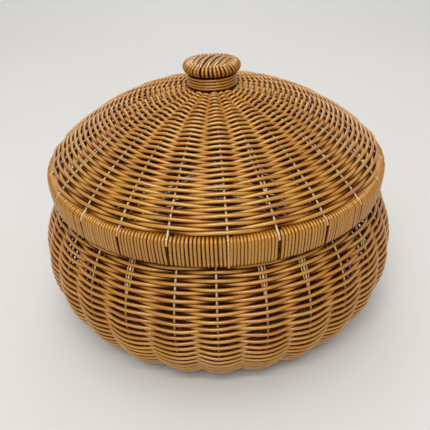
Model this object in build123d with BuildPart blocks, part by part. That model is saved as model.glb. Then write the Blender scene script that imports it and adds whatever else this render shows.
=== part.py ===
"""Round wicker basket with a domed lift-off lid, woven on coated-wire stakes and ribs.

Frame: origin on the floor under the middle of the basket, +Z up, millimetres.
The woven walls are closed shells with a channel for each wire that they are woven round.
"""

import os
from math import acos, atan2, cos, degrees, radians, sin, sqrt

from build123d import *

os.makedirs("parts", exist_ok=True)

# ---------------------------------------------------------------- driving dimensions
strand = 2.6  # woven strand, diameter
wire = 2.4  # coated wire of the stakes and the ribs, diameter
hoop_wire = 2.8  # wire of the rings, diameter
channel = wire + 0.3  # way left in the weave round a wire, diameter
seam = 0.2  # gap between neighbouring pieces
rest_gap = 0.4  # gap between the seated lid and the basket

stake_count = 28
stake_turn = -2.4  # how far round the stakes stand from the lid's ribs, degrees
rib_count = 24
coil_count = 4

belly_centre_radius = 86.0  # centre of the arc that the wall follows
belly_centre_height = 72.5
belly_radius = 90.5  # outside of the wall, from that centre
foot_bend_radius = 34.5  # outside of the bend from the wall into the bottom
wall_top_angle = 50.0  # where the wall ends, from level, about the arc's centre
wall_seam_angles = (-28.0, 14.0)  # where the foot, belly and shoulder bands meet

rim_radius = 160.0  # outside of the lid's rim band
rim_band_height = 26.0
rim_band_width = 11.0
rim_corner = 4.0  # rounding of the band's corners
hoop_inset = 5.2  # from the band's top or bottom to the middle of a hoop
rib_end_depth = 14.0  # how far the ribs reach down into the band

dome_radius = 229.5  # outside of the dome, part of a ball
rib_bend_radius = 6.0  # bend of a rib over the rim band
dome_seam_angles = (60.0, 72.0)  # where the edge, middle and crown bands meet
neck_radius = 23.0  # outside of the neck coils
bottom_centre_radius = 15.5  # where the stakes start
crown_radius = 15.5  # where the ribs start

knob_radius = 26.5
knob_height = 9.6
knob_hole_radius = 16.0  # where the edge binding stops and the top weave starts

# ---------------------------------------------------------------- sizes worked out
wall = 2 * strand + wire
belly_middle = belly_radius - wall / 2
foot_middle = foot_bend_radius - wall / 2
foot_centre_height = foot_bend_radius
foot_centre_radius = belly_centre_radius + sqrt(
    (belly_middle - foot_middle) ** 2 - (belly_centre_height - foot_centre_height) ** 2
)
foot_end_angle = degrees(
    atan2(foot_centre_height - belly_centre_height, foot_centre_radius - belly_centre_radius)
)
belly_centre = (belly_centre_radius, belly_centre_height)
foot_centre = (foot_centre_radius, foot_centre_height)

# the lid's band stands on the shoulder of the wall, on its rounded inner corner
rim_inner_radius = rim_radius - rim_band_width
seat_reach = belly_radius + rim_corner + rest_gap
seat_offset = rim_inner_radius + rim_corner - belly_centre_radius
rim_bottom = belly_centre_height + sqrt(seat_reach**2 - seat_offset**2) - rim_corner
rim_top = rim_bottom + rim_band_height

dome_middle = dome_radius - wall / 2
dome_centre_height = rim_top - sqrt(dome_radius**2 - rim_radius**2)
dome_centre = (0, dome_centre_height)
neck_angle = degrees(acos((neck_radius + seam) / dome_middle))

rib_drop_radius = rim_radius - strand - wire / 2 - seam
rib_bend_centre_radius = rib_drop_radius - rib_bend_radius
rib_bend_centre_height = dome_centre_height + sqrt(
    (dome_middle - rib_bend_radius) ** 2 - rib_bend_centre_radius**2
)
rib_bend_start_angle = degrees(
    atan2(rib_bend_centre_height - dome_centre_height, rib_bend_centre_radius)
)

crown_height = dome_centre_height + sqrt(dome_middle**2 - crown_radius**2)
neck_bottom = crown_height + wire
knob_bottom = neck_bottom + coil_count * (strand + seam / 4) + seam
knob_top = knob_bottom + knob_height
knob_core_bottom = knob_bottom + strand + seam
knob_core_top = knob_top - strand - seam

# the mouth binding stands on the end of the wall, and the stakes run into it up to its hoop
binding_radius = hoop_wire / 2 + seam / 2 + strand
mouth_angle = wall_top_angle + degrees((binding_radius + seam) / belly_middle)
mouth_radius = belly_centre_radius + belly_middle * cos(radians(mouth_angle))
mouth_height = belly_centre_height + belly_middle * sin(radians(mouth_angle))
stake_top_angle = mouth_angle - degrees((hoop_wire / 2 + seam) / belly_middle)


def save(builder, label):
    """Name a piece and write its file."""
    builder.part.label = label
    export_step(builder.part, f"parts/{label}.step")


def wire_ring(ring_radius, height, diameter):
    """A closed ring of round wire or strand, level, about the axis."""
    with BuildPart() as ring:
        with BuildSketch(Plane.XZ):
            with Locations((ring_radius, height)):
                Circle(diameter / 2)
        revolve(axis=Axis.Z)
    return ring


def stake_rod(diameter):
    """One stake: out along the bottom, round the foot bend and up the wall."""
    with BuildPart() as rod:
        with BuildLine(Plane.XZ) as path:
            Line((bottom_centre_radius, wall / 2), (foot_centre_radius, wall / 2))
            CenterArc(foot_centre, foot_middle, -90, foot_end_angle + 90)
            CenterArc(belly_centre, belly_middle, foot_end_angle, stake_top_angle - foot_end_angle)
        with BuildSketch(Plane(origin=path.line @ 0, z_dir=path.line % 0)):
            Circle(diameter / 2)
        sweep()
    return rod


def rib_rod(diameter):
    """One rib: down the dome from the crown, over the rim band's corner and down inside it."""
    crown_angle = degrees(acos(crown_radius / dome_middle))
    drop_top = (rib_drop_radius, rib_bend_centre_height)
    drop_bottom = (rib_drop_radius, rim_top - rib_end_depth)
    with BuildPart() as rod:
        with BuildLine(Plane.XZ) as path:
            CenterArc(dome_centre, dome_middle, crown_angle, rib_bend_start_angle - crown_angle)
            CenterArc(
                (rib_bend_centre_radius, rib_bend_centre_height),
                rib_bend_radius,
                rib_bend_start_angle,
                -rib_bend_start_angle,
            )
            Line(drop_top, drop_bottom)
        with BuildSketch(Plane(origin=path.line @ 0, z_dir=path.line % 0)):
            Circle(diameter / 2)
        sweep()
    return rod


def woven_band(centre, outer_radius, start_angle, end_angle, way, count, turn=0, floor=None):
    """A turned band of weave along an arc, with a way through it for each wire.

    A floor height cuts the lower end of the band off level.
    """
    arc_size = end_angle - start_angle
    with BuildPart() as band:
        with BuildSketch(Plane.XZ):
            with BuildLine():
                outside = CenterArc(centre, outer_radius, start_angle, arc_size)
                inside = CenterArc(centre, outer_radius - wall, start_angle, arc_size)
                Line(outside @ 0, inside @ 0)
                Line(outside @ 1, inside @ 1)
            make_face()
            if floor is not None:
                with Locations((0, floor)):
                    below = (Align.CENTER, Align.MAX)
                    Rectangle(3 * rim_radius, rim_radius, align=below, mode=Mode.SUBTRACT)
        revolve(axis=Axis.Z)
        with PolarLocations(0, count, start_angle=turn):
            add(way.part, mode=Mode.SUBTRACT)
    return band


# ---------------------------------------------------------------- basket: stakes and rings
stake = stake_rod(wire)
stake_way = stake_rod(channel)

with BuildPart() as stakes:
    with PolarLocations(0, stake_count, start_angle=stake_turn):
        add(stake.part)
save(stakes, "stakes")

# ---------------------------------------------------------------- basket: woven bottom
bottom_eye_radius = bottom_centre_radius + seam
bottom_bend = foot_end_angle + 90 - degrees(seam / foot_middle)
with BuildPart() as bottom_centre:
    with BuildSketch(Plane.XY):
        Circle(bottom_centre_radius - seam)
    extrude(amount=wall)
    fillet(bottom_centre.edges(), strand / 4)
save(bottom_centre, "bottom_centre")

with BuildPart() as bottom_weave:
    with BuildSketch(Plane.XZ):
        with BuildLine():
            under = CenterArc(foot_centre, foot_bend_radius, -90, bottom_bend)
            over = CenterArc(foot_centre, foot_bend_radius - wall, -90, bottom_bend)
            Line((bottom_eye_radius, 0), under @ 0)
            Line((bottom_eye_radius, wall), over @ 0)
            Line((bottom_eye_radius, 0), (bottom_eye_radius, wall))
            Line(under @ 1, over @ 1)
        make_face()
    revolve(axis=Axis.Z)
    with PolarLocations(0, stake_count, start_angle=stake_turn):
        add(stake_way.part, mode=Mode.SUBTRACT)
save(bottom_weave, "bottom_weave")

# ---------------------------------------------------------------- basket: woven wall
seam_angle = degrees(seam / belly_middle)
wall_limits = (foot_end_angle, *wall_seam_angles, wall_top_angle)
for name, low, high in zip(("foot", "belly", "shoulder"), wall_limits[:-1], wall_limits[1:]):
    band = woven_band(
        belly_centre, belly_radius, low + seam_angle, high, stake_way, stake_count, stake_turn
    )
    save(band, f"wall_weave_{name}")

# ---------------------------------------------------------------- basket: mouth
save(wire_ring(mouth_radius, mouth_height, hoop_wire), "mouth_hoop")

# the binding wraps the hoop and is open towards the wall, where the stakes come up
with BuildPart() as mouth_binding:
    with BuildSketch(Plane.XZ):
        with Locations((mouth_radius, mouth_height)):
            Circle(binding_radius)
            Circle(hoop_wire / 2 + seam / 2, mode=Mode.SUBTRACT)
            Rectangle(
                binding_radius + 1,
                channel,
                rotation=mouth_angle - 90,
                align=(Align.MIN, Align.CENTER),
                mode=Mode.SUBTRACT,
            )
    revolve(axis=Axis.Z)
save(mouth_binding, "mouth_binding")

# ---------------------------------------------------------------- lid: ribs and rings
rib = rib_rod(wire)
rib_way = rib_rod(channel)

with BuildPart() as ribs:
    with PolarLocations(0, rib_count):
        add(rib.part)
save(ribs, "lid_ribs")

crown_ring = wire_ring(crown_radius - hoop_wire / 2 - seam, crown_height - 2 * seam, hoop_wire)
save(crown_ring, "crown_ring")

hoop_radius = rim_inner_radius + strand + seam + hoop_wire / 2
save(wire_ring(hoop_radius, rim_top - hoop_inset, hoop_wire), "rim_hoop_upper")
save(wire_ring(hoop_radius, rim_bottom + hoop_inset, hoop_wire), "rim_hoop_lower")

# ---------------------------------------------------------------- lid: rim band
rim_middle = rim_radius - rim_band_width / 2
with BuildPart() as rim_binding:
    with BuildSketch(Plane.XZ):
        with Locations((rim_middle, rim_bottom + rim_band_height / 2)):
            RectangleRounded(rim_band_width, rim_band_height, rim_corner)
            Rectangle(rim_band_width - 2 * strand, rim_band_height - 2 * strand, mode=Mode.SUBTRACT)
    revolve(axis=Axis.Z)
    with PolarLocations(0, rib_count):
        add(rib_way.part, mode=Mode.SUBTRACT)
save(rim_binding, "rim_binding")

# ---------------------------------------------------------------- lid: woven dome
dome_limits = (rib_bend_start_angle - 4, *dome_seam_angles, neck_angle)
for name, low, high in zip(("edge", "middle", "crown"), dome_limits[:-1], dome_limits[1:]):
    band = woven_band(
        dome_centre,
        dome_radius,
        low + degrees(seam / dome_middle),
        high,
        rib_way,
        rib_count,
        floor=rim_top + seam,
    )
    save(band, f"dome_weave_{name}")

# ---------------------------------------------------------------- lid: neck
core_radius = neck_radius - strand - seam / 2
neck_core_bottom = crown_height + wire / 2 + seam
with BuildPart() as neck_core:
    with BuildSketch(Plane.XY.offset(neck_core_bottom)):
        Circle(core_radius)
    extrude(amount=knob_core_bottom - neck_core_bottom - seam / 2)
save(neck_core, "neck_core")

with BuildPart() as neck_coils:
    with BuildSketch(Plane.XZ):
        for turn in range(coil_count):
            height = neck_bottom + strand / 2 + turn * (strand + seam / 4)
            with Locations((neck_radius - strand / 2, height)):
                Circle(strand / 2)
    revolve(axis=Axis.Z)
save(neck_coils, "neck_coils")

# ---------------------------------------------------------------- lid: knob
knob_core_radius = knob_radius - strand - seam
with BuildPart() as knob_core:
    with BuildSketch(Plane.XY.offset(knob_core_bottom)):
        Circle(knob_core_radius)
    extrude(amount=knob_core_top - knob_core_bottom)
save(knob_core, "knob_core")

with BuildPart() as knob_edge_binding:
    with BuildSketch(Plane.XZ):
        with Locations((0, knob_bottom + knob_height / 2)):
            RectangleRounded(2 * knob_radius, knob_height, knob_height / 2 - seam)
        with Locations((0, (knob_core_bottom + knob_core_top) / 2)):
            core_height = knob_core_top - knob_core_bottom
            Rectangle(2 * (knob_core_radius + seam), core_height + seam, mode=Mode.SUBTRACT)
        with Locations((0, knob_core_top)):
            top_hole = (Align.CENTER, Align.MIN)
            Rectangle(2 * knob_hole_radius, knob_height, align=top_hole, mode=Mode.SUBTRACT)
        with Locations((0, knob_core_bottom)):
            neck_hole = (Align.CENTER, Align.MAX)
            Rectangle(2 * (core_radius + seam), knob_height, align=neck_hole, mode=Mode.SUBTRACT)
        with Locations((0, knob_bottom)):
            left_half = (Align.MAX, Align.CENTER)
            Rectangle(2 * knob_radius, 4 * knob_height, align=left_half, mode=Mode.SUBTRACT)
    revolve(axis=Axis.Z)
save(knob_edge_binding, "knob_edge_binding")

with BuildPart() as knob_top_weave:
    with BuildSketch(Plane.XY.offset(knob_core_top + seam / 2)):
        Circle(knob_hole_radius - seam)
    extrude(amount=strand)
    fillet(knob_top_weave.edges().group_by(Axis.Z)[-1], strand / 3)
save(knob_top_weave, "knob_top_weave")

print(f"rim bottom {rim_bottom:.2f}  rim top {rim_top:.2f}  neck {neck_bottom:.2f}  top {knob_top:.2f}")
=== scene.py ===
"""Wicker basket with a domed lift-off lid: round strand woven on pale coated wires.

Strands and wires are worked out in millimetres in the frame of the CAD part and turned into
meshes in metres. Angles round the basket are in radians from +X, and -Y is the front.
"""

from math import cos, pi, radians, sin, sqrt, tau

import bpy
import numpy as np
from mathutils import Matrix, Vector


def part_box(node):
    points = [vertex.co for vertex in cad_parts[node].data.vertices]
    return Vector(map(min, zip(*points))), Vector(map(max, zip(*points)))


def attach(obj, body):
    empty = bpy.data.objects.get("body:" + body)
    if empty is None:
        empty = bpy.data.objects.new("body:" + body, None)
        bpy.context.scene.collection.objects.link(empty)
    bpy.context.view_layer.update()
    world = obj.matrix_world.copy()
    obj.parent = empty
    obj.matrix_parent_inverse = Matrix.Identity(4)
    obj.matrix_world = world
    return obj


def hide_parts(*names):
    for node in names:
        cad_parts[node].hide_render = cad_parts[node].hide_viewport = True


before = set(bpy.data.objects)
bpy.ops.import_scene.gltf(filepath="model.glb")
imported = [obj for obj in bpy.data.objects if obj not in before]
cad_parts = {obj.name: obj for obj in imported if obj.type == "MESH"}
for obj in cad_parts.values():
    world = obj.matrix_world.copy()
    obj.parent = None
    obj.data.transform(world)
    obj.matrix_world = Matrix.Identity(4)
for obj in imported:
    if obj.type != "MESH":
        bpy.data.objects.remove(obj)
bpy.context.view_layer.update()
rng = np.random.default_rng(20)

# ---------------------------------------------------------------- sizes of the part, mm
MM = 0.001
STRAND = 2.6
WIRE = 2.4
WALL = 2 * STRAND + WIRE
LIFT = 2.35  # from the middle of a wire to the middle of a strand that passes it
FRONT = -pi / 2

STAKE_COUNT = 28
STAKE_TURN = radians(-2.4)
RIB_COUNT = 24

BELLY_CENTRE = (86.0, 72.5)
BELLY_MIDDLE = 90.5 - WALL / 2
FOOT_CENTRE = (127.134, 34.5)
FOOT_MIDDLE = 34.5 - WALL / 2
WALL_TOP = radians(50)
FOOT_END = radians(-42.732)
BELLY_LENGTH = (WALL_TOP - FOOT_END) * BELLY_MIDDLE
FOOT_LENGTH = (FOOT_END + pi / 2) * FOOT_MIDDLE

rim_low, rim_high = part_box("rim_binding")
RIM_RADIUS = rim_high.x / MM
RIM_BOTTOM = rim_low.z / MM
RIM_TOP = rim_high.z / MM
RIM_WIDTH = 11.0

DOME_RADIUS = 229.5
DOME_MIDDLE = DOME_RADIUS - WALL / 2
DOME_HEIGHT = RIM_TOP - sqrt(DOME_RADIUS**2 - RIM_RADIUS**2)
LID_SPREAD = 1.010  # strands lie a little outside the plain surface of the lid
RIM_RADIUS *= LID_SPREAD

coil_low, coil_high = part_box("neck_coils")
NECK_RADIUS = coil_high.x / MM
NECK_BOTTOM = coil_low.z / MM
NECK_TOP = coil_high.z / MM

edge_low, edge_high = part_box("knob_edge_binding")
KNOB_RADIUS = edge_high.x / MM
KNOB_BOTTOM = edge_low.z / MM
KNOB_TOP = edge_high.z / MM

hoop_low, hoop_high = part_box("mouth_hoop")
HOOP_WIRE = 2.8
MOUTH_RADIUS = hoop_high.x / MM - HOOP_WIRE / 2
MOUTH_HEIGHT = (hoop_low.z + hoop_high.z) / 2 / MM

# ---------------------------------------------------------------- how the weave is drawn
DRAWN_WIRE = 1.9  # thinner than in the CAD, so that it shows only between the rows
INSIDE_UNSHADED = 0.25  # painted shade on the inner side of the weave: how much it keeps, against 1 outside
SHADED_AT, SHADE_OVER = -1.6, 3.1  # painted shade: the depth where a strand is fully shaded, and from there how far to unshaded
FLANK_SHADE = 0.8  # how much darker the flanks are where a strand has no depth
GRAIN_SHIFT = 1000.0  # a strand starts anywhere along this length of grain
END_REACH = np.array([0.4, 0.7])  # the last two rings of a rounded end: how far out, in radii
END_WIDTH = np.array([0.85, 0.45])  # and how wide
BACK_AT, BACK_OVER = -0.1, 0.5  # the sine of the angle where the back sets in, and over how much
SAG = 0.48  # at the back, how far a row hangs down for each millimetre it stands out
SNUG = 1.6  # how much lift a tight row loses for what it gains in thickness
PAIR_SWING = 1.45  # a row that passes wires in pairs changes sides fast and lies flat between
ROW_JITTER = (0.07, 40)  # size and most waves of a row's wander along the surface
REACH_JITTER = (0.03, 60)  # and of how far it stands out
JITTER_TERMS = 6


# ---------------------------------------------------------------- mesh tools
def eased(share):
    """A share from 0 to 1 with soft ends."""
    return share * share * (3 - 2 * share)


def held(values):
    """The values, with the first and the last one given twice more."""
    return np.concatenate([values[[0, 0]], values, values[[-1, -1]]])


class Tubes:
    """Collects round strands and makes one mesh of them."""

    def __init__(self):
        self.points, self.quads, self.fans = [], [], []
        self.tones, self.lays, self.unshaded_parts = [], [], []
        self.count = 0

    def add(
        self, path, outward, radius, tone, closed=False, sides=8, depth=None, edgewise=False
    ):
        """One strand along a path. outward is roughly square to it at each point.

        depth is how far each point lies from the middle of the weave. What lies deep in it, and the
        side that faces inward, gets painted shade. Without it, the two flanks of the strand get the
        painted shade. edgewise means that outward is given towards a flank.
        """
        path = np.asarray(path, float)
        outward = np.asarray(outward, float) + np.zeros_like(path)
        radius = np.asarray(radius, float) + np.zeros(len(path))
        tone = np.asarray(tone, float) + np.zeros(len(path))
        if closed:
            along = np.roll(path, -1, 0) - np.roll(path, 1, 0)
        else:
            start, end = path[0] - path[1], path[-1] - path[-2]
            start *= radius[0] / np.linalg.norm(start)
            end *= radius[-1] / np.linalg.norm(end)
            before = path[0] + start * END_REACH[::-1, None]
            after = path[-1] + end * END_REACH[:, None]
            path = np.concatenate([before, path, after])
            narrowing = radius[-1] * END_WIDTH
            radius = np.concatenate([radius[0] * END_WIDTH[::-1], radius, narrowing])
            outward, tone = held(outward), held(tone)
            if depth is not None:
                depth = held(depth)
            along = np.gradient(path, axis=0)
        along /= np.linalg.norm(along, axis=1)[:, None]
        side = np.cross(along, outward)
        side /= np.linalg.norm(side, axis=1)[:, None]
        out = np.cross(side, along)
        turn = tau * np.arange(sides) / sides
        spoke = (
            np.cos(turn)[None, :, None] * out[:, None]
            + np.sin(turn)[None, :, None] * side[:, None]
        )
        ring = path[:, None] + radius[:, None, None] * spoke
        n = len(path)
        step = np.linalg.norm(np.diff(path, axis=0), axis=1)
        length = np.concatenate([[0], np.cumsum(step)]) + GRAIN_SHIFT * rng.random()
        lay = np.zeros((n, sides, 3))
        lay[..., 0] = length[:, None]
        lay[..., 1] = radius[:, None] * np.cos(turn)
        lay[..., 2] = radius[:, None] * np.sin(turn)
        # unshaded: 1 where no painted shade falls, 0 under the full painted shade
        if depth is None:
            flank = np.cos(turn) if edgewise else np.sin(turn)
            unshaded = np.broadcast_to(1 - FLANK_SHADE * np.abs(flank) ** 4, (n, sides))
        else:
            height = depth[:, None] + radius[:, None] * np.cos(turn)
            stand = height * np.tanh(2 * np.cos(turn))
            unshaded = eased(np.clip((stand - SHADED_AT) / SHADE_OVER, 0, 1))
            unshaded = unshaded * np.where(np.cos(turn) > -0.1, 1, INSIDE_UNSHADED)
        index = self.count + np.arange(n * sides).reshape(n, sides)
        near = index if closed else index[:-1]
        far = np.roll(index, -1, 0) if closed else index[1:]
        quad = np.stack([near, np.roll(near, -1, 1), np.roll(far, -1, 1), far], -1)
        self.quads.append(quad.reshape(-1, 4))
        self.points.append(ring.reshape(-1, 3))
        self.tones.append(np.repeat(tone, sides))
        self.lays.append(lay.reshape(-1, 3))
        self.unshaded_parts.append(unshaded.ravel())
        self.count += n * sides
        if not closed:
            self.fans.append(index[0, ::-1])
            self.fans.append(index[-1])

    def build(self, name, body, material, slot, replaces=()):
        """Makes the mesh, hangs it on its body and hides the CAD parts it replaces."""
        mesh = bpy.data.meshes.new(name)
        points = np.concatenate(self.points) * MM
        quads = np.concatenate(self.quads)
        corners = np.concatenate([quads.ravel(), *self.fans])
        sizes = np.concatenate([np.full(len(quads), 4), [len(f) for f in self.fans]]).astype(int)
        starts = np.concatenate([[0], np.cumsum(sizes)[:-1]])
        mesh.vertices.add(len(points))
        mesh.vertices.foreach_set("co", points.astype(np.float32).ravel())
        mesh.loops.add(len(corners))
        mesh.loops.foreach_set("vertex_index", corners.astype(np.int32))
        mesh.polygons.add(len(starts))
        mesh.polygons.foreach_set("loop_start", starts.astype(np.int32))
        mesh.polygons.foreach_set("use_smooth", np.ones(len(starts), bool))
        for label, kind, field, values in (
            ("tone", "FLOAT", "value", self.tones),
            ("unshaded", "FLOAT", "value", self.unshaded_parts),
            ("lay", "FLOAT_VECTOR", "vector", self.lays),
        ):
            layer = mesh.attributes.new(label, kind, "POINT")
            layer.data.foreach_set(field, np.concatenate(values).astype(np.float32).ravel())
        mesh.update(calc_edges=True)
        mesh.materials.append(material)
        piece = bpy.data.objects.new(name, mesh)
        bpy.context.scene.collection.objects.link(piece)
        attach(piece, body)
        if replaces:
            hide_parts(*replaces)
        return piece


def around(radius, height, angle):
    """Points at a radius, height and angle round the axis."""
    flat = np.broadcast_arrays(radius * np.cos(angle), radius * np.sin(angle), height)
    return np.stack(flat, -1)


def smooth_path(knots, count):
    """Points along a smooth curve through the knots, evenly shared among its spans."""
    knots = np.asarray(knots, float)
    ends = np.concatenate([[2 * knots[0] - knots[1]], knots, [2 * knots[-1] - knots[-2]]])
    t = np.linspace(0, len(knots) - 1, count)
    span = np.minimum(t.astype(int), len(knots) - 2)
    t = (t - span)[:, None]
    a, b, c, d = (ends[span + k] for k in range(4))
    square, cube = 2 * a - 5 * b + 4 * c - d, 3 * b - a - 3 * c + d
    return 0.5 * (2 * b + (c - a) * t + square * t**2 + cube * t**3)


# ---------------------------------------------------------------- surfaces the weave follows
def dome_surface(arc):
    """Radius, height and outward direction on the dome, by the distance from its top."""
    angle = arc / DOME_MIDDLE
    radius = LID_SPREAD * DOME_MIDDLE * np.sin(angle)
    return radius, DOME_HEIGHT + DOME_MIDDLE * np.cos(angle), np.sin(angle), np.cos(angle)


def wall_surface(arc):
    """The same on the wall, the foot and the bottom, by the distance from the mouth."""
    arc = np.asarray(arc, float)
    belly = WALL_TOP - arc / BELLY_MIDDLE
    foot = np.maximum(FOOT_END - (arc - BELLY_LENGTH) / FOOT_MIDDLE, -pi / 2)
    flat = np.maximum(arc - BELLY_LENGTH - FOOT_LENGTH, 0)
    on_belly = arc < BELLY_LENGTH
    angle = np.where(on_belly, belly, foot)
    middle = np.where(on_belly, BELLY_MIDDLE, FOOT_MIDDLE)
    radius = np.where(on_belly, BELLY_CENTRE[0], FOOT_CENTRE[0]) + middle * np.cos(angle)
    height = np.where(on_belly, BELLY_CENTRE[1], FOOT_CENTRE[1]) + middle * np.sin(angle)
    return radius - flat, height, np.cos(angle), np.sin(angle)


# ---------------------------------------------------------------- rows of the weave
def drift(size, waves):
    """A slow random drift of the rows along the surface, shared by neighbouring rows."""
    terms = [
        (
            size * rng.uniform(0.5, 1),
            rng.integers(1, waves),  # waves round the basket
            tau / rng.uniform(28, 80),  # one wave in so many millimetres along the surface
            tau * rng.random(),
        )
        for _ in range(12)
    ]
    return lambda angle, arc: sum(a * np.cos(h * angle + q * arc + p) for a, h, q, p in terms)


def jitter(angle, size, waves):
    """A small random wander of one row."""
    total = np.zeros_like(angle)
    for _ in range(JITTER_TERMS):
        total += rng.normal() * np.cos(rng.integers(1, waves) * angle + tau * rng.random())
    return size * total / sqrt(JITTER_TERMS / 2)


def strand_tone(angle, wires):
    """The tone along one row. It changes where a strand ends behind a wire and the next starts."""
    tone = np.full_like(angle, rng.random())
    for _ in range(2):
        joint = wires[rng.integers(len(wires) - 1)]
        tone = np.where((angle - joint) % tau < tau * rng.uniform(0.2, 0.5), rng.random(), tone)
    return tone


def weave_row(
    tubes,
    surface,
    arc,
    wires,
    odd,
    segments,
    wander,
    radius,
    floor,
    bulge=0.0,
    tight=0.0,
    pairs=False,
):
    """One closed row, in front of every other wire. wires holds their angles, the first one twice.

    odd tells the rows that start in front of a wire from those that start behind it. wander is how
    the row strays along the surface. Its middle stays above floor. bulge is added to the lift at
    the front. tight is how much thicker and closer to the wires the row is at the back. pairs is
    for wires so close together that the row passes them two by two.
    """
    count = len(wires) - 1
    place_on = np.arange(count * segments) / segments
    angle = np.interp(place_on, np.arange(count + 1), wires)
    if pairs:
        wave = np.clip(PAIR_SWING * np.cos(pi * (place_on / 2 + odd - 0.25)), -1, 1)
    else:
        wave = np.cos(pi * (place_on + odd))
    place = arc + wander(angle, arc) + jitter(angle, *ROW_JITTER)
    back = np.clip((np.sin(angle) - BACK_AT) / BACK_OVER, 0, 1)
    most = LIFT * (1 - SNUG * tight * back) + bulge * (1 - back)
    reach = most * wave * (1 + jitter(angle, *REACH_JITTER))
    if tight:
        place = place + SAG * back * reach
    r, z, out_r, out_z = surface(place)
    path = around(r + reach * out_r, np.maximum(z + reach * out_z, floor), angle)
    tone = strand_tone(angle, wires)
    thickness = radius * (1 + tight * back)
    tubes.add(path, around(out_r, out_z, angle), thickness, tone, closed=True, depth=reach)


def wire_angles(count, first, spread, nudges):
    """Angles of the wires from the front one on, a little uneven, with the first again at the end.

    nudges gives the unevenness of some wires, in degrees.
    """
    uneven = radians(spread) * np.clip(rng.normal(size=count), -1.5, 1.5)
    for wire, nudge in nudges.items():
        uneven[wire] = radians(nudge)
    angles = first + tau * np.arange(count) / count + uneven
    return np.append(angles, angles[0] + tau)


# ---------------------------------------------------------------- materials
def new_material(name):
    """A material with a Principled shader: the material, its nodes and links, and the shader."""
    material = bpy.data.materials.new(name)
    material.use_nodes = True
    nodes = material.node_tree.nodes
    nodes.clear()
    output = nodes.new("ShaderNodeOutputMaterial")
    shader = nodes.new("ShaderNodeBsdfPrincipled")
    material.node_tree.links.new(shader.outputs[0], output.inputs[0])
    return material, nodes, material.node_tree.links, shader


def ramp(nodes, links, socket, stops):
    """A colour by the value of a socket."""
    node = nodes.new("ShaderNodeValToRGB")
    elements = node.color_ramp.elements
    while len(elements) < len(stops):
        elements.new(0.5)
    for element, (place, colour) in zip(elements, stops):
        element.position = place
        element.color = (*colour, 1)
    links.new(socket, node.inputs["Fac"])
    return node.outputs["Color"]


def attribute(nodes, name, output="Fac"):
    node = nodes.new("ShaderNodeAttribute")
    node.attribute_name = name
    return node.outputs[output]


def scaled(nodes, links, socket, scale):
    node = nodes.new("ShaderNodeVectorMath")
    node.operation = "MULTIPLY"
    node.inputs[1].default_value = scale
    links.new(socket, node.inputs[0])
    return node.outputs[0]


def noise(nodes, links, socket, scale, detail):
    node = nodes.new("ShaderNodeTexNoise")
    node.inputs["Scale"].default_value = scale
    node.inputs["Detail"].default_value = detail
    links.new(socket, node.inputs["Vector"])
    return node.outputs["Fac"]


def multiplied(nodes, links, first, second):
    """Two colours multiplied."""
    node = nodes.new("ShaderNodeMix")
    node.data_type = "RGBA"
    node.blend_type = "MULTIPLY"
    node.inputs["Factor"].default_value = 1.0
    links.new(first, node.inputs["A"])
    links.new(second, node.inputs["B"])
    return node.outputs["Result"]


def between(nodes, links, socket, low, high):
    """A value from 0 to 1 brought to the range from low to high."""
    node = nodes.new("ShaderNodeMapRange")
    node.inputs["To Min"].default_value = low
    node.inputs["To Max"].default_value = high
    links.new(socket, node.inputs["Value"])
    return node.outputs["Result"]


def bumped(nodes, links, socket, strength):
    node = nodes.new("ShaderNodeBump")
    node.inputs["Strength"].default_value = strength
    node.inputs["Distance"].default_value = 0.0002
    links.new(socket, node.inputs["Height"])
    return node.outputs["Normal"]


def strand_material():
    """Glossy honey-brown strand with its own tone and faint lengthwise grain, painted shade in
    hollows.
    """
    material, nodes, links, shader = new_material("glossy_strand")
    lay = attribute(nodes, "lay", "Vector")
    unshaded = attribute(nodes, "unshaded")
    tone = attribute(nodes, "tone")
    patches = noise(nodes, links, scaled(nodes, links, lay, (0.035, 0.12, 0.12)), 1.0, 2.0)
    half = nodes.new("ShaderNodeMath")
    half.operation = "MULTIPLY"
    half.inputs[1].default_value = 0.5
    links.new(patches, half.inputs[0])
    blend = nodes.new("ShaderNodeMath")
    blend.operation = "MULTIPLY_ADD"
    blend.inputs[1].default_value = 0.55
    links.new(tone, blend.inputs[0])
    links.new(half.outputs[0], blend.inputs[2])
    honey = [
        (0.10, (0.355, 0.120, 0.010)),
        (0.35, (0.425, 0.165, 0.011)),
        (0.52, (0.455, 0.194, 0.012)),
        (0.70, (0.485, 0.226, 0.015)),
        (0.92, (0.520, 0.255, 0.028)),
    ]
    # painted shade: darker and browner deep in the weave and on the flanks, a touch of painted
    # light where a strand stands out
    shade_stops = [
        (0.0, (0.06, 0.018, 0.004)),
        (0.5, (0.56, 0.36, 0.20)),
        (1.0, (1.04, 1.04, 1.04)),
    ]
    colours = ramp(nodes, links, blend.outputs[0], honey)
    grain = noise(nodes, links, scaled(nodes, links, lay, (0.25, 3.2, 3.2)), 1.0, 4.0)
    streaks = ramp(nodes, links, grain, [(0.30, (0.80, 0.74, 0.70)), (0.62, (1.0, 1.0, 1.0))])
    hollow_shade = ramp(nodes, links, unshaded, shade_stops)
    streaked = multiplied(nodes, links, colours, streaks)
    links.new(multiplied(nodes, links, streaked, hollow_shade), shader.inputs["Base Color"])
    links.new(between(nodes, links, grain, 0.22, 0.36), shader.inputs["Roughness"])
    # the painted shade also takes coat and gloss out of the hollows
    links.new(between(nodes, links, unshaded, 0.0, 0.62), shader.inputs["Coat Weight"])
    links.new(between(nodes, links, unshaded, 0.05, 1.0), shader.inputs["Specular IOR Level"])
    links.new(bumped(nodes, links, grain, 0.25), shader.inputs["Normal"])
    shader.inputs["Specular Tint"].default_value = (1.0, 0.82, 0.52, 1)
    shader.inputs["Coat Roughness"].default_value = 0.18
    shader.inputs["Coat IOR"].default_value = 1.5
    return material


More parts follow.
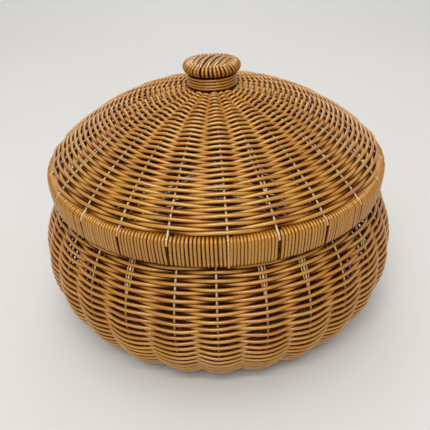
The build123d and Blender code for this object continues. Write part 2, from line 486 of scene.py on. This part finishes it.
def wire_material():
    """Pale cream coating over wire, browner where the tone is low, with painted shade on its
    flanks.
    """
    material, nodes, links, shader = new_material("cream_coated_wire")
    place = nodes.new("ShaderNodeTexCoord").outputs["Object"]
    unshaded = attribute(nodes, "unshaded")
    tone = attribute(nodes, "tone")
    cream = [
        (0.30, (0.66, 0.44, 0.22)),
        (0.55, (0.78, 0.57, 0.33)),
        (0.80, (0.84, 0.68, 0.46)),
    ]
    browner = [
        (0.0, (0.30, 0.17, 0.07)),
        (0.5, (0.72, 0.56, 0.40)),
        (1.0, (1.0, 1.0, 1.0)),
    ]
    mottle = noise(nodes, links, place, 140.0, 3.0)
    colours = ramp(nodes, links, mottle, cream)
    tone_darkening = ramp(nodes, links, tone, browner)
    # painted shade on the flanks of the wire
    hollow_shade = ramp(nodes, links, unshaded, [(0.0, (0.45, 0.33, 0.22)), (1.0, (1.0, 1.0, 1.0))])
    tone_darkened = multiplied(nodes, links, colours, tone_darkening)
    links.new(multiplied(nodes, links, tone_darkened, hollow_shade), shader.inputs["Base Color"])
    links.new(between(nodes, links, mottle, 0.30, 0.48), shader.inputs["Roughness"])
    links.new(bumped(nodes, links, mottle, 0.2), shader.inputs["Normal"])
    shader.inputs["Coat Weight"].default_value = 0.2
    shader.inputs["Coat Roughness"].default_value = 0.2
    return material


def paper_material():
    """The pale floor, a little uneven."""
    material, nodes, links, shader = new_material("pale_floor")
    place = nodes.new("ShaderNodeTexCoord").outputs["Object"]
    mottle = noise(nodes, links, place, 1.4, 2.0)
    tints = [(0.3, (0.635, 0.632, 0.624)), (0.7, (0.655, 0.653, 0.646))]
    links.new(ramp(nodes, links, mottle, tints), shader.inputs["Base Color"])
    shader.inputs["Roughness"].default_value = 0.75
    shader.inputs["Specular IOR Level"].default_value = 0.2
    return material


strand_look = strand_material()
wire_look = wire_material()
STRAND_SLOT, WIRE_SLOT = "woven_strand", "coated_wire"

# ---------------------------------------------------------------- lid: woven dome
FIRST_ROW, LAST_ROW = 24.9, 167.4  # distance from the top of the dome
DOME_STRAND = 3.08
THICK_ROWS = 16  # counted from the rim; the rows above them are a little thinner
THINNER = 0.95
STEADY_ROWS = 6  # counted from the rim; the drift sets in over these
BAND_GAP = STRAND / 2 + 0.1
# from the rim up: the rows lie closer near the top
dome_pitches = [3.12] * 4 + [2.79] * 12 + [2.56] * 38
dome_arcs = np.maximum(LAST_ROW - np.cumsum([0] + dome_pitches), FIRST_ROW)
ROW_COUNT = len(dome_arcs)
rib_angles = wire_angles(RIB_COUNT, FRONT, 0.35, {0: 1.0, -1: -0.5, 1: -0.2, 2: 0.1, -2: -0.4})
dome_drift = drift(0.16, 12)
dome_bands = {"crown": (0, 19), "middle": (19, 37), "edge": (37, ROW_COUNT)}
for band, (first_row, end_row) in dome_bands.items():
    tubes = Tubes()
    for row in range(first_row, end_row):
        from_rim = ROW_COUNT - 1 - row
        thinner = 1 if from_rim < THICK_ROWS else THINNER
        free = np.clip(from_rim / STEADY_ROWS, 0, 1)

        def wander(angle, place, free=free):
            return free * dome_drift(angle, place)

        weave_row(
            tubes,
            dome_surface,
            dome_arcs[from_rim],
            rib_angles,
            from_rim % 2,
            12 if band == "crown" else 14,
            wander,
            DOME_STRAND / 2 * rng.uniform(0.96, 1.02) * thinner,
            RIM_TOP + BAND_GAP,
        )
    tubes.build(f"dome_strands_{band}", "lid", strand_look, STRAND_SLOT, [f"dome_weave_{band}"])

# ---------------------------------------------------------------- lid: ribs
RIB_START, RIB_END = 15.5, 162.0  # distance from the top of the dome
FRONT_REACH = 19.5  # how far the front rib runs down the rim band; the others end near its top
TWIN_RIBS = {1: (92, 140), 3: (88, 128), 9: (96, 136), 20: (100, 146)}  # from, to: a second wire
TWIN_SHIFT = 1.9  # how far each of the two lies off the rib's own line
TWIN_RADIUS = 0.8
BEND_POINTS, BEND_SKIP = 60, 8  # the skipped ones lie on the dome
face = RIM_RADIUS - DRAWN_WIRE / 2 - 0.35
rib_tubes = Tubes()
for rib in range(RIB_COUNT):
    angle = rib_angles[rib]
    arcs = np.linspace(RIB_START, RIB_END, 60)
    r, z, _, _ = dome_surface(arcs)
    reach = rng.random() if rib else FRONT_REACH
    over = [
        (r[-2], z[-2]),
        (r[-1], z[-1]),
        (RIM_RADIUS - 6.0, RIM_TOP - 0.3),
        (RIM_RADIUS - 3.3, RIM_TOP - 1.7),
        (face - 0.9, RIM_TOP - 3.5),
        (face - 0.1, RIM_TOP - 5.2),
        (face - 0.1, RIM_TOP - 5.4 - reach * 0.75),
        (face - 1.2, RIM_TOP - 6.2 - reach),
        (face - 3.4, RIM_TOP - 7.4 - reach),
    ]
    bend = smooth_path(over, BEND_POINTS)[BEND_SKIP:]
    path_r = np.concatenate([r[:-1], bend[:, 0]])
    path_z = np.concatenate([z[:-1], bend[:, 1]])
    aside = np.zeros_like(path_r)
    sideways = np.array([-sin(angle), cos(angle), 0])
    # painted shade: a rib's tone falls towards the crown; down the band it is fixed, and lower on
    # the front rib
    wire_tone = np.clip((path_r - 30) / 120, 0, 1)
    wire_tone = np.where(path_z < RIM_TOP - 2, 0.75 if rib else 0.5, wire_tone)
    if rib in TWIN_RIBS:
        low, high = TWIN_RIBS[rib]
        share = np.clip((arcs[:-1] - low) / (high - low), 0, 1)
        aside[: len(share)] = TWIN_SHIFT * np.sqrt(np.sin(pi * share).clip(0))
        r, z, _, _ = dome_surface(np.linspace(low, high, 30))
        apart = TWIN_SHIFT * np.sin(np.linspace(0.1, pi - 0.1, 30)) ** 0.5
        twin = around(r, z, angle + apart / r)
        rib_tubes.add(twin, sideways, TWIN_RADIUS, 0.8, edgewise=True)
    path = around(path_r, path_z, angle - aside / path_r)
    rib_tubes.add(path, sideways, DRAWN_WIRE / 2, 0.12 + 0.8 * wire_tone, edgewise=True)
rib_tubes.build("rib_wires", "lid", wire_look, WIRE_SLOT, ["lid_ribs"])

# ---------------------------------------------------------------- lid: rim binding
WRAPS_PER_BAY = 14
SLIT = 0.92  # what each bay leaves free at its ribs, in wraps
FIRST_WRAP = 0.96  # from the rib to the first wrap, in wraps
LEAN = (-0.1, 0.9)  # how far the wraps next to a rib lean over it at the bottom
LEAN_FADE = 1.8  # wraps from the rib over which the lean fades
WOBBLE = 0.12
FIRM = 1.03  # how much thicker the wraps are than the strand
inset = STRAND / 2
outer_r, inner_r = RIM_RADIUS - inset, RIM_RADIUS - RIM_WIDTH + inset
top_z, low_z = RIM_TOP - inset, RIM_BOTTOM + inset
top_corner, low_corner, inner_corner = 5.6 - inset, 3.4 - inset, 1.6


def corner_arc(centre_r, centre_z, radius, start, end, count):
    turn = np.radians(np.linspace(start, end, count))
    return [(centre_r + radius * cos(t), centre_z + radius * sin(t)) for t in turn]


# one wrap, down the outside and up the inside
loop = np.array(
    corner_arc(outer_r - top_corner, top_z - top_corner, top_corner, 90, 0, 7)
    + [
        (outer_r, RIM_TOP - 9),
        (outer_r - 0.25, RIM_TOP - 15),
        (outer_r - 0.8, low_z + low_corner + 1.5),
    ]
    + corner_arc(outer_r - 1.0 - low_corner, low_z + low_corner, low_corner, 0, -90, 5)
    + corner_arc(inner_r + inner_corner, low_z + inner_corner, inner_corner, -90, -180, 4)
    + [(inner_r, (top_z + low_z * 2) / 3), (inner_r, (top_z * 2 + low_z) / 3)]
    + corner_arc(inner_r + inner_corner, top_z - inner_corner, inner_corner, 180, 90, 4)
)
on_inside = loop[:, 0] < inner_r + 0.5
advance = np.cumsum(on_inside) / on_inside.sum()  # the steps on to the next wrap are inside
down = np.clip((RIM_TOP - 4 - loop[:, 1]) / (RIM_TOP - RIM_BOTTOM - 8), 0, 1)
outside = (loop[:, 0] > outer_r - 4).astype(float)
wraps = {"front": Tubes(), "back": Tubes()}
for bay in range(RIB_COUNT):
    start, stop = rib_angles[bay], rib_angles[bay + 1]
    wrap_pitch = (stop - start) / (WRAPS_PER_BAY + SLIT)
    lean_left, lean_right = rng.uniform(*LEAN, 2)
    knots, tones = [], []
    tone = rng.random()
    for turn in range(WRAPS_PER_BAY):
        from_left = np.exp(-turn / LEAN_FADE)
        from_right = np.exp(-(WRAPS_PER_BAY - 1 - turn) / LEAN_FADE)
        shift = (lean_right * from_right - lean_left * from_left) * down * outside
        wobble = WOBBLE * rng.normal() + WOBBLE * rng.normal() * down
        bulge = WOBBLE * rng.normal() * outside
        place = start + wrap_pitch * (turn + FIRST_WRAP + advance)
        angle = place + (shift + wobble) / RIM_RADIUS
        knots.append(around(loop[:, 0] + bulge, loop[:, 1], angle))
        tones.append(np.full(len(loop), 0.35 + 0.3 * tone + 0.25 * rng.random()))
    path = np.concatenate(knots)
    tones = np.concatenate(tones)
    angles = np.arctan2(path[:, 1], path[:, 0])
    middle = around((outer_r + inner_r) / 2, (top_z + low_z) / 2, angles)
    part = wraps["front"] if sin(start + pi / RIB_COUNT) < 0 else wraps["back"]
    part.add(path, path - middle, STRAND / 2 * FIRM, tones)
wraps["front"].build("rim_wraps_front", "lid", strand_look, STRAND_SLOT, ["rim_binding"])
wraps["back"].build("rim_wraps_back", "lid", strand_look, STRAND_SLOT)

# ---------------------------------------------------------------- lid: neck
COILS = 4
TUCK = 0.06  # turns at each end in which the strand goes under the coils
TUCK_DEPTH = 3.2
coils = Tubes()
coil_pitch = (NECK_TOP - NECK_BOTTOM - STRAND) / (COILS - 1)
turns = np.linspace(-TUCK, COILS + TUCK, COILS * 72)
tuck = np.clip(np.minimum(turns + TUCK, COILS + TUCK - turns) / 0.05, 0, 1)
angle = radians(120) + tau * turns
coil_r = NECK_RADIUS - STRAND / 2 - TUCK_DEPTH * (1 - tuck) ** 2
coil_z = NECK_BOTTOM + STRAND / 2 + coil_pitch * np.clip(turns - 0.5, 0, COILS - 1)
coils.add(around(coil_r, coil_z, angle), around(1.0, 0.0, angle), STRAND / 2 * 0.98, 0.35)
coils.build("neck_coil_strand", "lid", strand_look, STRAND_SLOT, ["neck_coils"])

# ---------------------------------------------------------------- lid: knob
EDGE_STRANDS = 43
LAY = radians(69)  # direction of the strands across the top of the knob
SHOULDER = 3.4
KNOB_LIFT = 1.0  # the strands lie a little above the plain surface of the knob
UNDER = np.array([18.5, 20.2])  # radii under the edge where a strand starts
UNEVEN = 0.04  # of the spacing, as a share
SLANT = 0.05
TOP_SHARE = 0.80  # how far to the side, as a share of the radius, strands still cross the top
TOP_STRAND = 1.12  # how much thicker these are
TOP_SPREAD = 1.08  # how much wider apart they lie on the top than at the edge
TOP_END = 20.8  # how far from the axis they end
BOW, BOW_OVER = 2.0, 20  # how far they bow sideways in the middle, and where the bow ends
STACK = 0.4  # how much higher every other one lies
edge = Tubes()
lay_way = np.array([cos(LAY), sin(LAY)])
lay_side = np.array([-lay_way[1], lay_way[0]])
knob_mid = (KNOB_BOTTOM + KNOB_TOP) / 2 + KNOB_LIFT
edge_half = (KNOB_TOP - KNOB_BOTTOM) / 2 - STRAND / 2
top_z = knob_mid + edge_half
turn = np.radians(np.linspace(-90, 90, 11))
rim_r = KNOB_RADIUS - STRAND / 2 - SHOULDER + SHOULDER * np.cos(turn)
rim_z = knob_mid + edge_half * np.sin(turn)
for number in range(EDGE_STRANDS):
    angle = LAY + tau * (number + 0.5 + UNEVEN * rng.normal()) / EDGE_STRANDS
    slant = SLANT * np.sin(angle - LAY)
    rim = around(rim_r, rim_z, angle + slant * np.sin(turn))
    under = around(UNDER, knob_mid - edge_half, angle - slant)
    here = rim[-1, :2]
    inward = -here / np.linalg.norm(here)
    ahead, across = float(here @ lay_way), float(here @ lay_side)
    thick = 1.0
    if ahead < 0 and abs(across) / np.linalg.norm(here) < TOP_SHARE:
        # over the whole top
        thick = TOP_STRAND
        line = TOP_SPREAD * across
        end = sqrt(max(TOP_END**2 - line**2, 9))
        bow = BOW * (1 - (line / BOW_OVER) ** 2)
        stack = STACK * (-1) ** number
        places = [
            (ahead + 2.4, across),
            (ahead * 0.45, 0.4 * across + 0.6 * line),
            (0.0, line),
            (end * 0.55, line),
            (end, line),
        ]
        knots = [
            a * lay_way + (s + bow * (1 - (a / BOW_OVER) ** 2)) * lay_side for a, s in places
        ]
        heights = [
            top_z + 0.2,
            top_z + 0.6 + stack,
            top_z + 0.7 + stack,
            top_z + 0.4 + stack,
            top_z - 1.2,
        ]
    elif ahead < 6:
        # at the two sides: over the edge and in under the others
        step = rng.uniform(1.9, 2.5)
        bend = 0.45 * (inward + 0.9 * lay_way)
        knots = [
            here + step * inward,
            here + 2.1 * step * (0.72 * inward + bend),
            here + 3.0 * step * (0.6 * inward + bend),
        ]
        heights = [top_z + 0.1, top_z - 0.3, top_z - 1.5]
    else:
        # at the far end: over the edge and straight down
        step = rng.uniform(1.2, 1.9)
        knots = [here + step * inward, here + 2.2 * step * inward]
        heights = [top_z, top_z - 1.3]
    top = np.column_stack([np.array(knots), heights])
    path = smooth_path(np.concatenate([under, rim, top]), 52)
    sideways = np.array([-sin(angle), cos(angle), 0])
    radius = thick * STRAND / 2 * rng.uniform(0.92, 0.98)
    edge.add(path, sideways, radius, 0.35 + 0.6 * rng.random(), edgewise=True)
edge.build("knob_strands", "lid", strand_look, STRAND_SLOT, ["knob_edge_binding", "knob_top_weave"])

# ---------------------------------------------------------------- basket: woven wall and bottom
WALL_FIRST = 1.1
WALL_PITCH, BOTTOM_PITCH = 3.2, 2.72
BODY_STRAND = 3.05
BULGE = 1.6  # how much more the rows stand out at the belly
TIGHT = 0.18  # how much thicker the rows are at the back
CLIMB, LEVEL_BELOW = 4.0, 100.0  # the upper rows climb to the right; below this arc none does
HOLE = 18.5  # how far from the axis the woven bottom ends
CROWDED = 46  # how far from the axis the rows start to pass the stakes in pairs
wall_drift = drift(0.14, 14)
stake_angles = wire_angles(
    STAKE_COUNT, FRONT + STAKE_TURN, 0.5, {0: -0.2, -1: 1.1, -2: -0.4, 1: 0.3, 2: 0.2}
)
flat_start = BELLY_LENGTH + FOOT_LENGTH
flat_end = BELLY_LENGTH + FOOT_LENGTH + FOOT_CENTRE[0] - HOLE
wall_arcs, arc = [], WALL_FIRST
while arc < flat_end:
    wall_arcs.append(arc)
    arc += WALL_PITCH if arc < flat_start else BOTTOM_PITCH
shoulder_end, belly_end = ((WALL_TOP - radians(a)) * BELLY_MIDDLE for a in (14.0, -28.0))
wall_bands = {
    "shoulder": (0, shoulder_end, ["wall_weave_shoulder"]),
    "belly": (shoulder_end, belly_end, ["wall_weave_belly"]),
    "foot": (belly_end, BELLY_LENGTH + 1.0, ["wall_weave_foot"]),
    "bend": (BELLY_LENGTH + 1.0, flat_start + 20, ["bottom_weave"]),
    "bottom": (flat_start + 20, flat_end, []),
}
for name, (low, high, stands_for) in wall_bands.items():
    tubes = Tubes()
    for number, arc in enumerate(wall_arcs):
        if not low <= arc < high:
            continue
        from_centre = flat_end + HOLE - arc
        swell = np.clip((arc - 45) / 60, 0, 1) * np.clip((BELLY_LENGTH + 26 - arc) / 20, 0, 1)
        calm = np.clip(arc / 15, 0, 1) * np.clip(from_centre / 60, 0, 1)
        rise = CLIMB * np.clip(arc / 20, 0, 1) * np.clip(1 - arc / LEVEL_BELOW, 0, 1)

        def wander(angle, place, calm=calm, rise=rise):
            return calm * wall_drift(angle, place) - rise * np.cos(angle)

        weave_row(
            tubes,
            wall_surface,
            arc,
            stake_angles,
            (number + 1) % 2,
            8 if name == "bottom" else 14,
            wander,
            BODY_STRAND / 2 * rng.uniform(0.96, 1.03),
            BODY_STRAND / 2,
            bulge=BULGE * eased(swell),
            tight=TIGHT,
            pairs=from_centre < CROWDED,
        )
    tubes.build(f"wall_strands_{name}", "basket", strand_look, STRAND_SLOT, stands_for)

# ---------------------------------------------------------------- basket: stakes
# thin wires lie on both sides of some stakes, down to this arc
TRIPLE_STAKES = {1: 40, 2: 44, 26: 46, 9: 38, 15: 42, 21: 36}
SIDE_SHIFT = 2.4  # from the stake's line; they close in on it at their lower end
SIDE_RADIUS = 0.6
stake_tubes = Tubes()
for stake in range(STAKE_COUNT):
    angle = stake_angles[stake]
    sideways = np.array([-sin(angle), cos(angle), 0])
    arcs = np.linspace(-1.0, flat_end + 1.5, 110)
    r, z, _, _ = wall_surface(arcs)
    # a stake's tone: darker further down the wall
    wire_tone = 0.85 - 0.6 * np.clip((arcs - 35) / 70, 0, 1)
    stake_tubes.add(around(r, z, angle), sideways, DRAWN_WIRE / 2, wire_tone, edgewise=True)
    if stake in TRIPLE_STAKES:
        arcs = np.linspace(0.5, TRIPLE_STAKES[stake], 36)
        r, z, _, _ = wall_surface(arcs)
        closing = np.clip((TRIPLE_STAKES[stake] - arcs) / 12, 0.35, 1)
        for side in (-1, 1):
            path = around(r, z, angle + side * SIDE_SHIFT * closing / r)
            # their tone of 0.7 is a little painted shade
            stake_tubes.add(path, sideways, SIDE_RADIUS, 0.7, edgewise=True)
stake_tubes.build("stake_wires", "basket", wire_look, WIRE_SLOT, ["stakes"])

# ---------------------------------------------------------------- basket: bottom centre
PATCH_RADIUS = 15.0
PATCH_PITCH = 2.75
PATCH_LIFT = 1.25
patch = Tubes()
for across in (False, True):
    for number, offset in enumerate(np.arange(-5, 6) * PATCH_PITCH):
        reach = sqrt(max(PATCH_RADIUS**2 - offset**2, 1))
        t = np.linspace(-reach, reach, 40)
        wave = PATCH_LIFT * np.cos(pi * t / PATCH_PITCH + pi * number + (pi if across else 0))
        height = WALL / 2 + wave
        line = np.full_like(t, offset)
        path = np.column_stack([line, t, height] if across else [t, line, height])
        patch.add(path, np.array([0, 0, -1.0]), STRAND / 2 * 0.95, rng.random(), depth=-wave)
patch.build("bottom_centre_strands", "basket", strand_look, STRAND_SLOT, ["bottom_centre"])

# ---------------------------------------------------------------- basket: mouth binding
BIND_RADIUS = HOOP_WIRE / 2 + 0.1 + STRAND / 2
BIND_PITCH = 2.78
BIND_STEPS = 12
mouth = Tubes()
bind_count = int(tau * MOUTH_RADIUS / BIND_PITCH)
turns = np.arange(bind_count * BIND_STEPS) / BIND_STEPS
angle = tau * turns / bind_count
roll = tau * turns
path = around(
    MOUTH_RADIUS + BIND_RADIUS * np.cos(roll), MOUTH_HEIGHT + BIND_RADIUS * np.sin(roll), angle
)
centre = around(MOUTH_RADIUS, MOUTH_HEIGHT, angle)
tone = 0.4 + 0.25 * np.repeat(rng.random(bind_count), BIND_STEPS)
mouth.add(path, path - centre, STRAND / 2 * 0.98, tone, closed=True)
mouth.build("mouth_wraps", "basket", strand_look, STRAND_SLOT, ["mouth_binding"])

# ---------------------------------------------------------------- CAD nodes that stay
HOOPS = ("mouth_hoop", "crown_ring", "rim_hoop_upper", "rim_hoop_lower")
CORES = ("neck_core", "knob_core")
# These carry no tone or unshaded attribute, so they take the darkest colours of their materials:
# painted shade, as they lie inside the weave and the bindings.
for node in HOOPS + CORES:
    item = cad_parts[node]
    look = strand_look if node in CORES else wire_look
    item.data.materials.clear()
    item.data.materials.append(look)

# ---------------------------------------------------------------- floor, m
FLOOR_FLAT = 2.4
SWEEP = 1.4
FLOOR_WALL = 1.2
AROUND = 96
profile = [(r, 0.0) for r in np.linspace(0.0, FLOOR_FLAT, 7)[1:]]
profile += [
    (FLOOR_FLAT + SWEEP * sin(t), SWEEP - SWEEP * cos(t)) for t in np.linspace(0, pi / 2, 13)[1:]
]
profile += [(FLOOR_FLAT + SWEEP, SWEEP + FLOOR_WALL)]
verts, faces = [(0, 0, 0)], []
for radius, height in profile:
    for k in range(AROUND):
        turn = tau * k / AROUND
        verts.append((radius * cos(turn), radius * sin(turn), height))
for k in range(AROUND):
    faces.append((0, 1 + k, 1 + (k + 1) % AROUND))
for ring in range(len(profile) - 1):
    a, b = 1 + ring * AROUND, 1 + (ring + 1) * AROUND
    for k in range(AROUND):
        after = (k + 1) % AROUND
        faces.append((a + k, b + k, b + after, a + after))
floor_mesh = bpy.data.meshes.new("floor")
floor_mesh.from_pydata(verts, [], faces)
for polygon in floor_mesh.polygons:
    polygon.use_smooth = True
floor = bpy.data.objects.new("floor", floor_mesh)
bpy.context.scene.collection.objects.link(floor)
floor_mesh.materials.append(paper_material())

# ---------------------------------------------------------------- light
world = bpy.data.worlds.new("studio")
bpy.context.scene.world = world
world.use_nodes = True
background = world.node_tree.nodes.get("Background") or world.node_tree.nodes.new(
    "ShaderNodeBackground"
)
background.inputs["Color"].default_value = (1.0, 0.99, 0.97, 1)
background.inputs["Strength"].default_value = 0.50


def softbox(name, place, target, size, power, colour):
    light = bpy.data.lights.new(name, "AREA")
    light.shape = "RECTANGLE"
    light.size, light.size_y = size
    light.energy = power
    light.color = colour
    lamp = bpy.data.objects.new(name, light)
    bpy.context.scene.collection.objects.link(lamp)
    lamp.location = place
    lamp.rotation_mode = "QUATERNION"
    lamp.rotation_quaternion = (Vector(target) - Vector(place)).to_track_quat("-Z", "Y")


softbox("window", (-0.5, -2.3, 3.0), (0, 0, 0.1), (2.4, 1.1), 46.0, (1.0, 0.985, 0.955))
softbox("strip", (-0.1, -1.55, 2.9), (0, 0, 0.15), (2.4, 0.16), 30.0, (1.0, 0.98, 0.94))
softbox("overhead", (-0.12, 0.0, 2.0), (0, 0, 0.1), (1.6, 1.2), 11.0, (1.0, 0.985, 0.96))
softbox("back_fill", (0.1, 2.5, 1.8), (0, 2.2, 0), (1.4, 0.8), 15.0, (1.0, 0.99, 0.97))

# ---------------------------------------------------------------- camera
CAMERA_DISTANCE = 0.5048
CAMERA_RISE = radians(25.25)
CAMERA_SWING = radians(-1.54)  # the rib at the front shows a little right of the middle
YAW, PITCH, ROLL = radians(-0.28), radians(-7.81), radians(2.21)
FOCAL = 506.2 / 430  # of the picture's width
SENSOR = 36.0
ahead = Vector((0, cos(CAMERA_RISE), -sin(CAMERA_RISE)))
right = Vector((1, 0, 0))
up = Vector((0, sin(CAMERA_RISE), cos(CAMERA_RISE)))
ahead, up = ahead * cos(PITCH) + up * sin(PITCH), up * cos(PITCH) - ahead * sin(PITCH)
ahead, right = ahead * cos(YAW) + right * sin(YAW), right * cos(YAW) - ahead * sin(YAW)
right, up = right * cos(ROLL) - up * sin(ROLL), right * sin(ROLL) + up * cos(ROLL)
swing = Matrix.Rotation(CAMERA_SWING, 3, "Z")
stand = swing @ Vector(
    (0, -CAMERA_DISTANCE * cos(CAMERA_RISE), CAMERA_DISTANCE * sin(CAMERA_RISE))
)
turned = swing @ Matrix((right, up, -ahead)).transposed()
camera_data = bpy.data.cameras.new("camera")
camera_data.sensor_width = SENSOR
camera_data.lens = SENSOR * FOCAL
camera_data.clip_start, camera_data.clip_end = 0.01, 30
camera = bpy.data.objects.new("camera", camera_data)
bpy.context.scene.collection.objects.link(camera)
camera.matrix_world = Matrix.Translation(stand + Vector((0, 0, RIM_TOP * MM))) @ turned.to_4x4()
bpy.context.scene.camera = camera
bpy.context.scene.view_settings.view_transform = "Standard"
bpy.context.scene.view_settings.look = "None"
